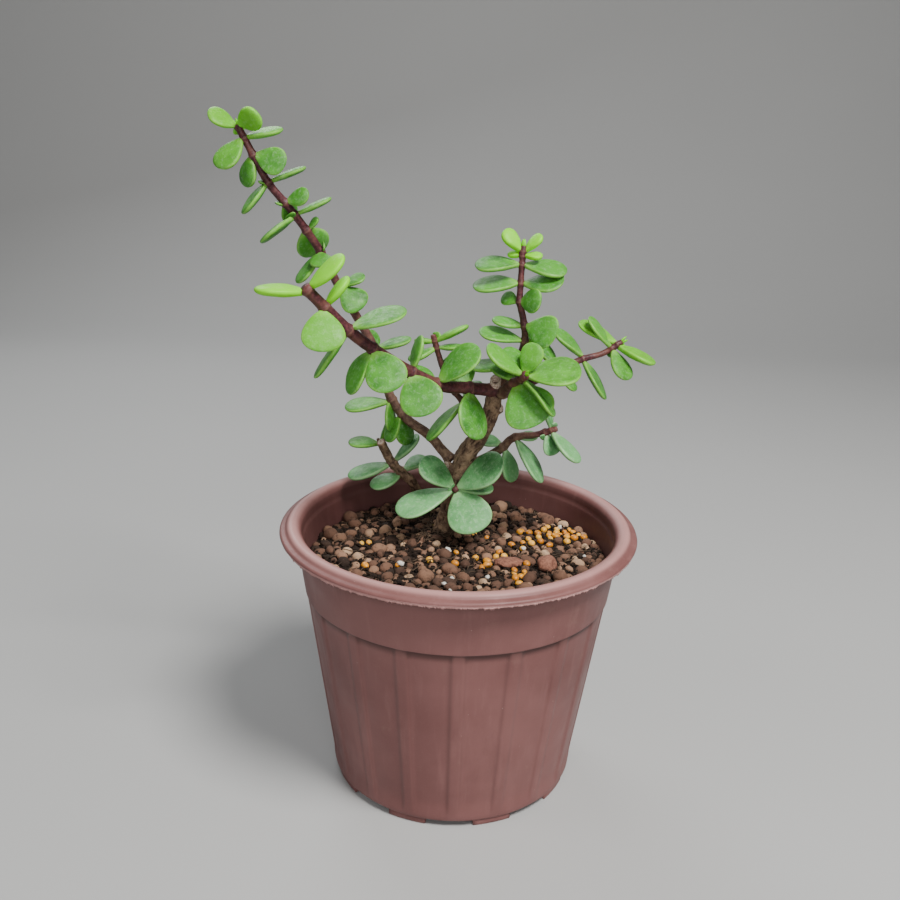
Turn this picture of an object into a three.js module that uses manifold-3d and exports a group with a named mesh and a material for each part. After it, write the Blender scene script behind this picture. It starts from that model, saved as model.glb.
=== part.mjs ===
// Potted elephant bush: a fluted plastic pot, its soil and roots, and a small branching shrub with fleshy
// leaves in opposite pairs. Millimetres, +Z up. The origin is on the pot's axis, on the surface it stands on.
// The plant's show side faces -Y.
import * as THREE from 'three';
import { mergeVertices } from 'three/addons/utils/BufferGeometryUtils.js';
import Module from 'manifold-3d';

const wasm = await Module();
wasm.setup();

// ---- driving dimensions ----
const POT_HEIGHT = 100;
const LIP_RADIUS = 65;
const FLOOR_RADIUS = 45.4;
const BAND_TOP_RADIUS = 58.8;
const BAND_TOP = 93.6;
const STEP_HEIGHT = 75;
const WALL = 1.6;
const FLOOR_UNDERSIDE = 2.2;
const FLUTE_COUNT = 18;
const FLUTE_DEPTH = 0.7;
const RIB_HALF_ANGLE = 2.2;
const FLANK_ANGLE = 1.4;
const RIB_OFFSET = 1.5;
const FOOT_COUNT = 9;
const FOOT_HALF_ANGLE = 9;
const FOOT_WIDTH = 3.6;
const CENTRE_FOOT_RADIUS = 8;
const DRAIN_HOLES = 8;
const DRAIN_RADIUS = 4;
const DRAIN_CIRCLE = 29;
const SOIL_EDGE = 86.5;
const SOIL_CROWN = 88;
const GAP = 0.3;
const LEAF_WIDTH_RATIO = 0.8;
const LEAF_THICKNESS = 2.4;
const COLLAR_WALL = 1.1;
const COLLAR_HEIGHT = 2.4;

const rad = THREE.MathUtils.degToRad;
const vec = (x, y, z) => new THREE.Vector3(x, y, z);
const UP = vec(0, 0, 1);
// Leaf directions are given as seen from here, in front of the plant at the height of its top.
const VIEWPOINT = vec(0, -341, 239);

// ---- materials ----
const finish = (color, roughness) => new THREE.MeshStandardMaterial({ color, roughness, metalness: 0 });
const POT_PLASTIC = finish(0x9a6c67, 0.5);
const SOIL = finish(0x4a352b, 0.95);
const ROOT = finish(0x8a7358, 0.9);
const BARK = finish(0x77604c, 0.9);
const RED_STEM = finish(0x5e3038, 0.6);
const GREEN_LEAF = finish(0x6fa257, 0.45);
const GREY_LEAF = finish(0x7d9f78, 0.5);

// ---- solids ----
function toSolid(geometry) {
  const bare = geometry.clone();
  bare.deleteAttribute('normal');
  bare.deleteAttribute('uv');
  const merged = mergeVertices(bare, 1e-4);
  const triVerts = new Uint32Array(merged.index.array);
  return new wasm.Manifold(new wasm.Mesh({
    numProp: 3,
    vertProperties: merged.attributes.position.array,
    triVerts,
  }));
}

function toGeometry(solid) {
  const mesh = solid.getMesh();
  const geometry = new THREE.BufferGeometry();
  geometry.setAttribute('position', new THREE.BufferAttribute(mesh.vertProperties, 3));
  geometry.setIndex(new THREE.BufferAttribute(mesh.triVerts, 1));
  geometry.computeVertexNormals();
  return geometry;
}

// Moves each vertex of a geometry through a function of its own place.
function reshape(geometry, place) {
  const position = geometry.attributes.position;
  const point = vec(0, 0, 0);
  for (let i = 0; i < position.count; i += 1) {
    point.fromBufferAttribute(position, i);
    place(point);
    position.setXYZ(i, point.x, point.y, point.z);
  }
  return geometry;
}

// The largest of a solid's separate bodies, so a trimmed piece stays one body.
function mainBody(solid) {
  const bodies = solid.decompose();
  return bodies.reduce((best, body) => (body.volume() > best.volume() ? body : best));
}

function boxesMeet(a, b) {
  const one = a.boundingBox();
  const two = b.boundingBox();
  return [0, 1, 2].every((k) => one.min[k] < two.max[k] && two.min[k] < one.max[k]);
}

const part = new THREE.Group();
// Grown copies of the pieces already placed. A later piece is trimmed by those that it reaches.
const keepOuts = [];

function trimmed(solid) {
  const reached = keepOuts.filter((other) => boxesMeet(solid, other));
  return mainBody(reached.reduce((rest, other) => rest.subtract(other), solid));
}

function add(name, geometry, material) {
  const mesh = new THREE.Mesh(geometry, material);
  mesh.name = name;
  part.add(mesh);
}

// ---- pot ----
const lerp = THREE.MathUtils.lerp;
const wallRadius = (z) => lerp(FLOOR_RADIUS, BAND_TOP_RADIUS, z / BAND_TOP);
const LEDGE_RADIUS = BAND_TOP_RADIUS - 2.4;
const stepInside = wallRadius(STEP_HEIGHT) - WALL - FLUTE_DEPTH;
// Inside of the band, between the step and the ledge under the lip.
const bandInside = (z) => lerp(stepInside, LEDGE_RADIUS, (z - STEP_HEIGHT) / (BAND_TOP - STEP_HEIGHT));

// Outside, up the wall, over the rolled lip and down the inside.
function potProfile() {
  const points = [
    [0, FLOOR_UNDERSIDE], [FLOOR_RADIUS - 1, FLOOR_UNDERSIDE],
    [wallRadius(4.5), 4.5], [wallRadius(STEP_HEIGHT - 0.7), STEP_HEIGHT - 0.7],
    [wallRadius(STEP_HEIGHT), STEP_HEIGHT], [BAND_TOP_RADIUS, BAND_TOP],
    [LIP_RADIUS, 96.4], [LIP_RADIUS, 98.1], [LIP_RADIUS - 2.2, 98.9], [LIP_RADIUS - 4, POT_HEIGHT],
    [LIP_RADIUS - 7.8, 97.8], [LEDGE_RADIUS + 0.6, 94.4],
    [LEDGE_RADIUS, BAND_TOP], [stepInside, STEP_HEIGHT],
    [wallRadius(5) - WALL - FLUTE_DEPTH, 5.4], [FLOOR_RADIUS - 4, FLOOR_UNDERSIDE + WALL],
    [0, FLOOR_UNDERSIDE + WALL],
  ];
  return points.map(([radius, z]) => new THREE.Vector2(radius, z));
}

// Four lathe segments make one flute: a rib, its two flanks and the panel between them.
const WALL_SEGMENTS = 4 * FLUTE_COUNT;

function fluteAngle(index) {
  const pitch = 360 / FLUTE_COUNT;
  const stops = [
    -RIB_HALF_ANGLE, RIB_HALF_ANGLE, RIB_HALF_ANGLE + FLANK_ANGLE,
    pitch - RIB_HALF_ANGLE - FLANK_ANGLE,
  ];
  return rad(-90 + RIB_OFFSET + Math.floor(index / 4) * pitch + stops[index % 4]);
}

// Stands a lathe's point up along Z and moves it round to its flute's stop. With sink, the panels of the
// outside wall are sunk below the step.
function alongFlutes(point, sink) {
  const radius = Math.hypot(point.x, point.z);
  const turn = Math.atan2(point.x, point.z) / (2 * Math.PI);
  const index = Math.round((turn + 1) * WALL_SEGMENTS) % WALL_SEGMENTS;
  const z = point.y;
  const onPanel = index % 4 > 1 && z > 4 && z < STEP_HEIGHT - 0.1 && radius > wallRadius(z) - 0.1;
  const placed = radius - (sink && onPanel ? FLUTE_DEPTH : 0);
  const angle = fluteAngle(index);
  point.set(placed * Math.cos(angle), placed * Math.sin(angle), z);
}

function foot(angle) {
  const from = rad(angle - FOOT_HALF_ANGLE);
  const to = rad(angle + FOOT_HALF_ANGLE);
  const outer = FLOOR_RADIUS - 0.3;
  const shape = new THREE.Shape();
  shape.absarc(0, 0, outer, from, to, false);
  shape.absarc(0, 0, outer - FOOT_WIDTH, to, from, true);
  const depth = FLOOR_UNDERSIDE + 0.8;
  const extrusion = new THREE.ExtrudeGeometry(shape, { depth, bevelEnabled: false, curveSegments: 2 });
  return toSolid(extrusion);
}

function makePot() {
  const wall = new THREE.LatheGeometry(potProfile(), WALL_SEGMENTS);
  reshape(wall, (point) => alongFlutes(point, true));
  let pot = toSolid(wall);
  for (let i = 0; i < FOOT_COUNT; i += 1) {
    pot = pot.add(foot(-90 + 20 + (i * 360) / FOOT_COUNT));
  }
  const depth = FLOOR_UNDERSIDE + 0.8;
  const centre = new THREE.CylinderGeometry(CENTRE_FOOT_RADIUS, CENTRE_FOOT_RADIUS, depth, 18);
  centre.rotateX(Math.PI / 2).translate(0, 0, depth / 2);
  pot = pot.add(toSolid(centre));
  for (let i = 0; i < DRAIN_HOLES; i += 1) {
    const angle = (i / DRAIN_HOLES) * 2 * Math.PI;
    const hole = new THREE.CylinderGeometry(DRAIN_RADIUS, DRAIN_RADIUS, 12, 10);
    hole.rotateX(Math.PI / 2).translate(DRAIN_CIRCLE, 0, FLOOR_UNDERSIDE);
    hole.rotateZ(angle);
    pot = pot.subtract(toSolid(hole));
  }
  add('pot', toGeometry(pot), POT_PLASTIC);
}

// ---- stems ----
// Each stem is a tapered tube along a smooth curve through points set by hand, base first.
const STEMS = {
  trunk: {
    points: [[-4.4, 20, 84], [-3.4, 19.5, 91], [-0.3, 17, 108.8], [2, 15, 120], [7, 13, 128.3],
      [11, 10.5, 140], [11.6, 9.3, 146]],
    radii: [4.6, 2.7],
    bark: true,
  },
  left_limb: {
    points: [[8.2, 7, 147.3], [3, 4, 148.5], [-7, -4, 151], [-17.5, -12, 157.5], [-29, -20, 166.5],
      [-37, -26, 174], [-49.5, -35, 189]],
    radii: [2.2, 1.8],
  },
  long_shoot: {
    points: [[-5.4, 20.5, 117.5], [-14, 26, 125], [-25, 30, 132], [-33, 28, 155], [-46, 22, 180],
      [-53, 17, 195], [-61, 12, 207.5], [-69, 9, 218], [-73.5, 8, 227], [-78, 8, 235.5]],
    radii: [1.9, 1.2],
  },
  mid_twig: {
    points: [[6.5, 15.5, 136], [1, 11, 141], [-2.5, 10, 144.5], [-6, 8, 151], [-9, 6, 160],
      [-11, 5, 167]],
    radii: [1.3, 0.9],
  },
  centre_shoot: {
    points: [[15.5, 11.2, 150.5], [21, 6, 163.5], [21, 5, 171], [19, 5, 178.5], [19, 6, 189],
      [19.3, 7, 198.5]],
    radii: [1.4, 0.95],
  },
  rosette_twig: {
    points: [[15, 5.4, 147.6], [17, 0, 151.5], [19.5, -4, 154], [21.5, -8, 157]],
    radii: [1.7, 1.3],
  },
  right_shoot: {
    points: [[15.8, 12.6, 145.4], [28, 18, 149], [42.5, 22, 155.5], [52.5, 24, 158.5], [58.5, 25, 162.5]],
    radii: [1.5, 1.0],
  },
  lower_right_branch: {
    points: [[5, 18.8, 115], [11, 18, 118.5], [16.5, 16, 123.5], [19.5, 15, 127], [28, 12, 129.5],
      [35, 10, 132.5]],
    radii: [1.9, 1.0],
  },
  front_spur: {
    points: [[-0.8, 12.8, 107.2], [-1.4, 10.5, 107.6], [-1.7, 8, 108]],
    radii: [1.2, 1.1],
  },
  sucker: {
    points: [[-10.5, 38, 84], [-15.5, 36.5, 93.5], [-19.5, 34, 101.5], [-26.5, 31, 109.5],
      [-30.5, 28.5, 118]],
    radii: [1.9, 1.6],
    bark: true,
  },
  small_twig: {
    points: [[-28, 34.5, 109], [-31, 35, 114], [-33, 35, 118.5]],
    radii: [0.8, 0.7],
  },
};
const STEM_SIDES = 6;

const curveOf = (stem) => new THREE.CatmullRomCurve3(stem.points.map(([x, y, z]) => vec(x, y, z)));
const radiusAt = (stem, t) => lerp(stem.radii[0], stem.radii[1], t);

// Bends a tapered cylinder along the stem's curve. extra is added to the radius all over.
function stemSolid(stem, extra) {
  const curve = curveOf(stem);
  const rings = Math.round(1.5 * (stem.points.length - 1));
  const frames = curve.computeFrenetFrames(rings);
  const tube = new THREE.CylinderGeometry(1, 1, 1, STEM_SIDES, rings);
  reshape(tube, (point) => {
    const ring = Math.round((point.y + 0.5) * rings);
    const u = ring / rings;
    const radius = radiusAt(stem, u) + extra;
    const centre = curve.getPointAt(u);
    const across = frames.binormals[ring].clone().multiplyScalar(point.x * radius);
    const beside = frames.normals[ring].clone().multiplyScalar(point.z * radius);
    const past = Math.trunc(2 * point.y) * extra;
    point.copy(centre).add(across).add(beside).addScaledVector(frames.tangents[ring], past);
  });
  return toSolid(tube);
}

function makeStems() {
  for (const [name, stem] of Object.entries(STEMS)) {
    add(name, toGeometry(stemSolid(stem, 0)), stem.bark ? BARK : RED_STEM);
    keepOuts.push(stemSolid(stem, GAP));
  }
}

// ---- roots and soil ----
// Four main roots under the trunk, one under the sucker, and the neck that joins the two.
const ROOTS = [
  { points: [[-4.4, 20, 82], [-14, 12, 72], [-24, 2, 52], [-28, -8, 30]], radii: [2.6, 0.8] },
  { points: [[-4.4, 20, 82], [6, 14, 70], [18, 6, 52], [26, -4, 28]], radii: [2.6, 0.8] },
  { points: [[-4.4, 20, 82], [-4, 28, 66], [2, 32, 44], [8, 30, 22]], radii: [2.6, 0.8] },
  { points: [[-4.4, 20, 82], [-3, 4, 68], [-2, -14, 50], [2, -26, 26]], radii: [2.6, 0.8] },
  { points: [[-10.5, 38, 82.5], [-12, 34, 74], [-14, 28, 60]], radii: [1.6, 0.8] },
  { points: [[-4.4, 20, 82.6], [-8, 30, 74], [-12, 34, 72]], radii: [2.4, 1.6] },
];

function rootSolid(extra) {
  const solids = ROOTS.map((root) => stemSolid(root, extra));
  return solids.reduce((all, root) => all.add(root));
}

function makeSoil() {
  const clear = GAP + 0.1;
  const bottom = FLOOR_UNDERSIDE + WALL + GAP;
  const edge = bandInside(SOIL_EDGE) - clear;
  const profile = [
    [0, bottom], [FLOOR_RADIUS - 4.6, bottom], [wallRadius(5) - WALL - FLUTE_DEPTH - clear, 5.8],
    [stepInside - clear, STEP_HEIGHT], [edge, SOIL_EDGE], [edge - 12, SOIL_EDGE + 0.4],
    [20, SOIL_CROWN - 0.4], [0, SOIL_CROWN],
  ];
  const outlinePoints = profile.map(([radius, z]) => new THREE.Vector2(radius, z));
  const bed = new THREE.LatheGeometry(outlinePoints, WALL_SEGMENTS / 2);
  reshape(bed, (point) => alongFlutes(point, false));
  let soil = toSolid(bed).subtract(rootSolid(GAP));
  for (const name of ['trunk', 'sucker']) {
    soil = soil.subtract(stemSolid(STEMS[name], GAP + 0.1));
  }
  add('soil', toGeometry(mainBody(soil)), SOIL);
}

function makeRoots() {
  add('roots', toGeometry(trimmed(rootSolid(0))), ROOT);
}

// ---- leaves ----
// A pair sits at a place along its stem, counted in the stem's own points. Each leaf is
// [heading, lean, turn, length, ratio]: heading is degrees anticlockwise from the right as seen from the
// viewpoint, lean is degrees towards it, turn is 0 with the blade facing it and 90 with its edge on, and
// ratio is width to length.
const LEAVES = {
  long_shoot: [
    [8.85, [146, 10, 55, 10.5], [39, 45, 0, 9.3, 0.9]],
    [8.5, [12, 12, 76, 11.7], [229, 15, 48, 12]],
    [7.75, [-17, 28, 10, 10, 0.92], [255, -15, 48, 9]],
    [7, [16, -10, 86, 12.5], [236, 5, 76, 12.4]],
    [6.35, [14, 20, 30, 8], [303, -35, 20, 9]],
    [5.95, [20, -5, 86, 12.4], [221, 12, 84, 13.5]],
    [5.5, [46, 10, 54, 4], [-60, -42, 5, 14, 0.9]],
    [4.95, [283, 52, 0, 8.5, 0.9], [240, 5, 70, 12.6]],
    [4, [25, 10, 66, 8.2], [-48, 15, 25, 10.5, 1]],
    [3, [22, 0, 66, 12], [105, -10, 50, 8]],
    [2.25, [190, -5, 69, 16], [278, -5, 69, 12]],
    [1.75, [240, 5, 55, 9.5], [290, -10, 30, 10]],
  ],
  left_limb: [
    [5.95, [175, 0, 74, 14.4], [43, 5, 69, 13.2]],
    [5.6, [50, -10, 76, 10], [269, 24, 0, 13.4, 1]],
    [5, [18, 0, 66, 17.5], [234, -5, 86, 16.5]],
    [4, [-62, 28, 0, 14.2, 0.95], [238, -5, 60, 14.5]],
    [3, [-70, 25, 0, 14.5, 1], [78, -10, 66, 10.7]],
    [2.2, [40, 10, 54, 17.1], [150, -15, 54, 10]],
    [1.1, [125, -20, 30, 12], [279, 18, 50, 16.6]],
  ],
  mid_twig: [
    [4.9, [20, 0, 86, 11.5], [190, 0, 85, 5.5]],
    [4.3, [205, 10, 74, 9.5], [4, 0, 76, 8]],
    [1, [226, 12, 76, 18], [60, -30, 50, 9]],
  ],
  centre_shoot: [
    [4.95, [132, 0, 50, 7.8], [46, 0, 55, 6.5]],
    [4.7, [-2, 10, 66, 5.4], [178, -20, 54, 4]],
    [4.4, [185, 5, 64, 14.8], [-9, 5, 64, 14.2]],
    [3.7, [186, 5, 60, 15], [10, 8, 59, 13.6]],
    [3.2, [5, 45, 10, 8.5, 0.95], [168, -40, 30, 6.5]],
    [1.95, [164, 0, 66, 10.2], [-10, 36, 8, 12, 1]],
    [1.3, [170, 12, 62, 14.8], [32, -18, 50, 10.5]],
    [0.45, [188, 0, 68, 14.5], [-10, -25, 55, 11]],
  ],
  rosette_twig: [
    [2.95, [73, 5, 20, 9.7], [0, 35, 45, 8], [146, 10, 70, 14.8], [10, -5, 62, 17.5]],
    [2.3, [116, -15, 38, 10.4], [-45, -5, 84, 15.6]],
    [1.3, [-56, 20, 0, 15.8, 0.9], [140, -30, 40, 9]],
  ],
  right_shoot: [
    [3.9, [157, -10, 74, 16], [-24, 0, 74, 13.7]],
    [3.2, [125, 8, 84, 12.9], [-53, 15, 56, 11.8]],
    [2.1, [136, 0, 76, 13.1], [-53, 0, 76, 15.7]],
    [1.5, [130, -8, 64, 10.6], [-42, -8, 66, 8.4]],
    [0.5, [-62, -20, 40, 11], [110, -25, 40, 9]],
  ],
  lower_right_branch: [
    [4.9, [111, 0, 66, 7.5], [-48, 10, 69, 13.8]],
    [4.3, [-17, -10, 60, 6], [-54, 0, 66, 7.6]],
    [3.1, [-56, 10, 68, 18], [12, -20, 54, 8]],
    [1.9, [-75, -8, 54, 12], [170, -20, 50, 8]],
  ],
  front_spur: [
    [1.75, [142, 12, 46, 15.5], [-57, 22, 0, 17.3, 0.9], [203, 8, 55, 22, 0.65], [34, 22, 40, 20.5, 0.72],
      [6, -12, 60, 13]],
  ],
  sucker: [
    [3.1, [196, 0, 70, 16], [48, 5, 72, 13]],
    [2.5, [200, 15, 54, 12], [30, -20, 54, 10]],
  ],
  small_twig: [
    [1.8, [180, 0, 84, 10.8], [203, 10, 70, 11], [68, 0, 84, 9.5]],
  ],
};
const OLD_LEAVES = ['front_spur', 'sucker', 'lower_right_branch'];

const SEGMENTS_ROUND = 6;
const SEGMENTS_ALONG = 4;

// Half width along a leaf, 0 at the stalk and 1 at the tip: widest past the middle, with a round end.
const outline = (s) => Math.sin(Math.PI * s ** 1.35) ** 0.6;

function leafSolid(base, { direction, blade, length, width }, extra) {
  const side = direction.clone().cross(blade);
  const halfWidth = width / 2 + extra;
  const halfThickness = LEAF_THICKNESS / 2 + extra;
  const leaf = new THREE.SphereGeometry(1, SEGMENTS_ROUND, SEGMENTS_ALONG);
  reshape(leaf, (point) => {
    const s = (point.y + 1) / 2;
    const ring = Math.hypot(point.x, point.z);
    const width = ring > 1e-6 ? (point.x / ring) * halfWidth * outline(s) : 0;
    const depth = ring > 1e-6 ? (point.z / ring) * halfThickness * outline(s) ** 0.7 : 0;
    const along = s * (length + 2 * extra) - extra;
    point.copy(base).addScaledVector(direction, along);
    point.addScaledVector(side, width).addScaledVector(blade, depth);
  });
  return toSolid(leaf);
}

function leafShape([heading, lean, turn, length, ratio = LEAF_WIDTH_RATIO], centre) {
  const toView = VIEWPOINT.clone().sub(centre).normalize();
  const right = UP.clone().cross(toView).normalize();
  const direction = right.clone().applyAxisAngle(toView, rad(heading));
  direction.multiplyScalar(Math.cos(rad(lean))).addScaledVector(toView, Math.sin(rad(lean)));
  const facing = toView.addScaledVector(direction, -toView.dot(direction)).normalize();
  const upper = direction.clone().cross(facing);
  if (upper.z < 0) {
    upper.negate();
  }
  const blade = facing.multiplyScalar(Math.cos(rad(turn))).addScaledVector(upper, Math.sin(rad(turn)));
  return { direction, blade, length, width: length * ratio };
}

// A ring of stem tissue that joins the leaves of one node round the stem.
function collar(centre, along, radius) {
  const ring = new THREE.CylinderGeometry(radius, radius, COLLAR_HEIGHT, 6);
  ring.applyQuaternion(new THREE.Quaternion().setFromUnitVectors(vec(0, 1, 0), along));
  ring.translate(centre.x, centre.y, centre.z);
  return toSolid(ring);
}

function leafNode(stem, place, leaves, extra) {
  const curve = curveOf(stem);
  const t = place / (stem.points.length - 1);
  const centre = curve.getPoint(t);
  const along = curve.getTangent(t);
  const radius = radiusAt(stem, t);
  let node = collar(centre, along, radius + COLLAR_WALL + extra);
  for (const leaf of leaves) {
    const shape = leafShape(leaf, centre);
    const outward = shape.direction.clone();
    outward.addScaledVector(along, -outward.dot(along)).normalize();
    const base = centre.clone().addScaledVector(outward, radius + COLLAR_WALL / 2);
    node = node.add(leafSolid(base, shape, extra));
  }
  return node;
}

function makeLeaves() {
  for (const [name, nodes] of Object.entries(LEAVES)) {
    const material = OLD_LEAVES.includes(name) ? GREY_LEAF : GREEN_LEAF;
    nodes.forEach(([place, ...leaves], i) => {
      const solid = trimmed(leafNode(STEMS[name], place, leaves, 0));
      add(`leaves_${name}_${i + 1}`, toGeometry(solid), material);
      keepOuts.push(leafNode(STEMS[name], place, leaves, GAP));
    });
  }
}

makePot();
makeStems();
makeRoots();
makeSoil();
makeLeaves();

export default part;
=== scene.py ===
"""Potted elephant bush: the looks of the plant, its soil and its pot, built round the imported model.

Lengths are in metres. Every place comes from the frame: stems follow the CAD stems' own rings, leaves are
read off the CAD leaf nodes, and the pot and soil are sized by their CAD boxes.
"""

import math
import random

import bmesh
import bpy
import numpy as np
from mathutils import Matrix, Vector, noise


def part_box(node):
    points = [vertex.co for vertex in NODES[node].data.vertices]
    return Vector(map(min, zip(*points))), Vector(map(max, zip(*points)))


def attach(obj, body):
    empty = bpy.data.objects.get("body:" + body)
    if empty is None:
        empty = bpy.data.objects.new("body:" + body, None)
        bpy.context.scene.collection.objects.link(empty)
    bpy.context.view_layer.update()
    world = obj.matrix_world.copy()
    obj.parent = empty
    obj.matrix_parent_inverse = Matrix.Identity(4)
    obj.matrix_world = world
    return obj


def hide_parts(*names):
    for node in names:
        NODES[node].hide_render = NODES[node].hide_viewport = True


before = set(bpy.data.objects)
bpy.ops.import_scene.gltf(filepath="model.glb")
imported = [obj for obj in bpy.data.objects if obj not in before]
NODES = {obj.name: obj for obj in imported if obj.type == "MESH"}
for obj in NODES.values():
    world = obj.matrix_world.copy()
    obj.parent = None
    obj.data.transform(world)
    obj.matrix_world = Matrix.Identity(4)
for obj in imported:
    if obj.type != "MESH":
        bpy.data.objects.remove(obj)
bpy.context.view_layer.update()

MM = 0.001

# ---- camera and stage ----
CAMERA_PLACE = Vector((0.0, -0.3414, 0.2391))
CAMERA_PITCH = math.radians(18.28)
CAMERA_YAW = math.radians(0.65)
CAMERA_ROLL = math.radians(1.6)
LENS_MM = 40
SENSOR_MM = 36


def place_camera():
    data = bpy.data.cameras.new("camera")
    data.lens = LENS_MM
    data.sensor_width = SENSOR_MM
    data.clip_start = 0.01
    camera = bpy.data.objects.new("camera", data)
    bpy.context.scene.collection.objects.link(camera)
    turn = Matrix.Rotation(CAMERA_YAW, 4, "Z") @ Matrix.Rotation(math.pi / 2 - CAMERA_PITCH, 4, "X")
    camera.matrix_world = Matrix.Translation(CAMERA_PLACE) @ turn @ Matrix.Rotation(CAMERA_ROLL, 4, "Z")
    bpy.context.scene.camera = camera


def add_light(name, place, target, size, power, colour=(1, 1, 1)):
    data = bpy.data.lights.new(name, "AREA")
    data.shape = "DISK"
    data.size = size
    data.energy = power
    data.color = colour
    light = bpy.data.objects.new(name, data)
    light.location = place
    light.rotation_euler = (Vector(target) - Vector(place)).to_track_quat("-Z", "Y").to_euler()
    bpy.context.scene.collection.objects.link(light)


def add_lights():
    plant = (0, 0, 0.13)
    add_light("key", (0.36, -0.42, 0.9), plant, 0.34, 17, (1, 0.985, 0.96))
    add_light("front", (0.1, -1.0, 0.45), plant, 0.6, 4.2)
    add_light("side", (-0.75, -0.2, 0.7), plant, 0.4, 1.2)
    add_light("back", (-0.3, 0.7, 0.7), plant, 0.5, 4.0, (0.95, 0.98, 1))
    world = bpy.data.worlds.new("studio")
    world.use_nodes = True
    world.node_tree.nodes["Background"].inputs[0].default_value = (0.94, 0.96, 1, 1)
    world.node_tree.nodes["Background"].inputs[1].default_value = 0.18
    bpy.context.scene.world = world


# ---- mesh helpers ----
def enclosed_volume(verts, faces):
    """Signed volume of a surface: below 0 where its faces look inwards."""
    corners = np.array([(f[0], f[k], f[k + 1]) for f in faces for k in range(1, len(f) - 1)])
    a, b, c = (verts[corners[:, i]] for i in range(3))
    return float(np.einsum("ij,ij->i", a, np.cross(b, c)).sum()) / 6


class MeshParts:
    """Gathers many small closed surfaces, with named values at each vertex, into one mesh."""

    def __init__(self):
        self.verts = []
        self.faces = []
        self.values = {}
        self.count = 0

    def add(self, verts, faces, **values):
        if enclosed_volume(verts, faces) < 0:
            faces = [tuple(reversed(f)) for f in faces]
        self.verts.append(verts)
        self.faces.extend([tuple(i + self.count for i in f) for f in faces])
        for key, value in values.items():
            full = np.broadcast_to(np.asarray(value, float), (len(verts),))
            self.values.setdefault(key, []).append(full)
        self.count += len(verts)

    def make(self, name, material, smooth=True):
        mesh = bpy.data.meshes.new(name)
        verts = np.concatenate(self.verts)
        mesh.from_pydata(verts.tolist(), [], self.faces)
        for key, chunks in self.values.items():
            layer = mesh.attributes.new(key, "FLOAT", "POINT")
            layer.data.foreach_set("value", np.concatenate(chunks).astype(np.float32))
        mesh.polygons.foreach_set("use_smooth", [smooth] * len(mesh.polygons))
        mesh.materials.append(material)
        mesh.update()
        piece = bpy.data.objects.new(name, mesh)
        bpy.context.scene.collection.objects.link(piece)
        return piece


def ring_faces(rings, sides):
    """Quads between rings of equal count, with a fan to one pole vertex at each end."""
    faces = []
    for r in range(rings - 1):
        for k in range(sides):
            a = r * sides + k
            b = r * sides + (k + 1) % sides
            faces.append((a, b, b + sides, a + sides))
    first = rings * sides
    last = first + 1
    top = (rings - 1) * sides
    for k in range(sides):
        faces.append((first, (k + 1) % sides, k))
        faces.append((last, top + k, top + (k + 1) % sides))
    return faces


def frames_along(points):
    """Tangent and two square directions at each point, turned as little as possible along the way."""
    tangents = np.gradient(points, axis=0)
    tangents /= np.linalg.norm(tangents, axis=1)[:, None]
    start = np.array([0.0, 0.0, 1.0]) if abs(tangents[0][2]) < 0.9 else np.array([0.0, 1.0, 0.0])
    across = np.cross(tangents[0], start)
    across /= np.linalg.norm(across)
    out = []
    for tangent in tangents:
        across = across - tangent * across.dot(tangent)
        across /= np.linalg.norm(across)
        out.append((across.copy(), np.cross(tangent, across)))
    return tangents, out


def smooth_path(points, radii, step):
    """Points a step apart on a Catmull-Rom curve through the given ones, with radii to match."""
    points = np.asarray(points, float)
    padded = np.vstack([2 * points[0] - points[1], points, 2 * points[-1] - points[-2]])
    path = []
    sizes = []
    for i in range(1, len(padded) - 2):
        p0, p1, p2, p3 = padded[i - 1:i + 3]
        count = max(2, int(np.linalg.norm(p2 - p1) / step))
        for t in np.arange(count) / count:
            path.append(0.5 * (2 * p1 + (p2 - p0) * t + (2 * p0 - 5 * p1 + 4 * p2 - p3) * t * t
                               + (3 * p1 - p0 - 3 * p2 + p3) * t ** 3))
            sizes.append(radii[i - 1] * (1 - t) + radii[i] * t)
    path.append(points[-1])
    sizes.append(radii[-1])
    return np.array(path), np.array(sizes)


# ---- reading the frame ----
WELD = 0.002 * MM


def welded(node):
    """A CAD node's vertices, each once, and its triangles."""
    mesh = NODES[node].data
    places = np.zeros(len(mesh.vertices) * 3)
    mesh.vertices.foreach_get("co", places)
    places = places.reshape(-1, 3)
    _, first, same = np.unique(np.round(places / WELD), axis=0, return_index=True, return_inverse=True)
    loops = np.zeros(len(mesh.loops), int)
    mesh.loops.foreach_get("vertex_index", loops)
    return places[first], same.ravel()[loops].reshape(-1, 3)


def neighbours(count, triangles):
    linked = [set() for _ in range(count)]
    for a, b, c in triangles:
        linked[a].update((int(b), int(c)))
        linked[b].update((int(a), int(c)))
        linked[c].update((int(a), int(b)))
    return linked


def read_stem(node):
    """Ring centres and radii of a CAD stem, thick end first. Its end caps are fans round their centres."""
    places, triangles = welded(node)
    linked = neighbours(len(places), triangles)
    off = [np.linalg.norm(places[i] - places[list(linked[i])].mean(0)) for i in range(len(places))]
    start = int(np.argmin(off))
    seen = {start}
    ring = set(linked[start])
    centres = []
    radii = []
    while len(ring) > 2:
        corners = places[list(ring)]
        centre = corners.mean(0)
        centres.append(centre)
        radii.append(float(np.linalg.norm(corners - centre, axis=1).mean()))
        seen |= ring
        ring = set().union(*(linked[i] for i in ring)) - seen
    if radii[0] < radii[-1]:
        centres.reverse()
        radii.reverse()
    return np.array(centres), np.array(radii)


STEM_NODES = sorted(n for n in NODES if n not in ("pot", "soil", "roots") and not n.startswith("leaves_"))
STEMS = {name: read_stem(name) for name in STEM_NODES}


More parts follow.
